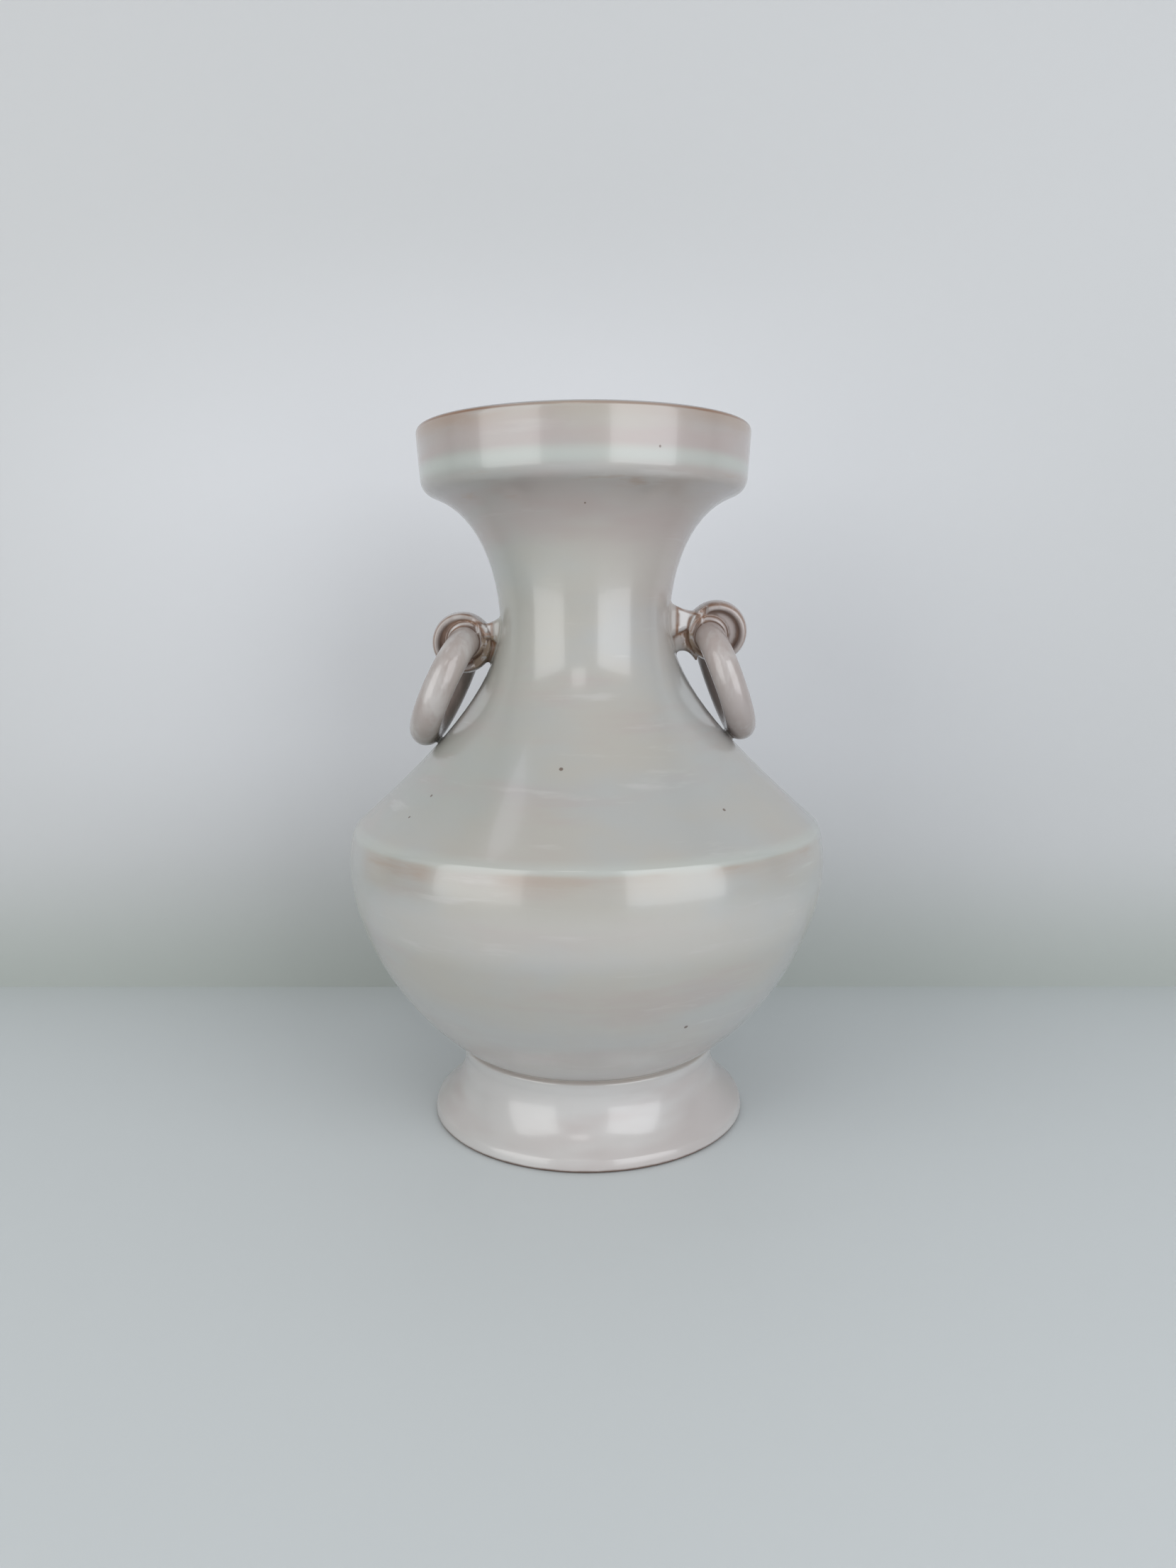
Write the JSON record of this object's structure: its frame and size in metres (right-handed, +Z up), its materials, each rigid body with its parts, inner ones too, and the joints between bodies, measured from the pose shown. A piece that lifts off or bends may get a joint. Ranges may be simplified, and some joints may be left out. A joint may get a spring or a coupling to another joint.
{
  "type": "ceramic vase",
  "caption": "Glazed stoneware vase with a cup mouth, narrow neck, sloping shoulder, round belly and flared foot, and an ear on either side of the neck gripping a fixed ring.",
  "frame": {"origin": "on the ground under the middle of the foot", "axes": "+Z up along the vase's own axis, X through the two ears, -Y towards the viewer of the picture"},
  "size_m": [0.2081, 0.2082, 0.3],
  "materials": {
    "glaze": "pale grey-green gloss glaze with brown edges"
  },
  "bodies": {
    "root": {"vase": "glaze"}
  },
  "joints": []
}
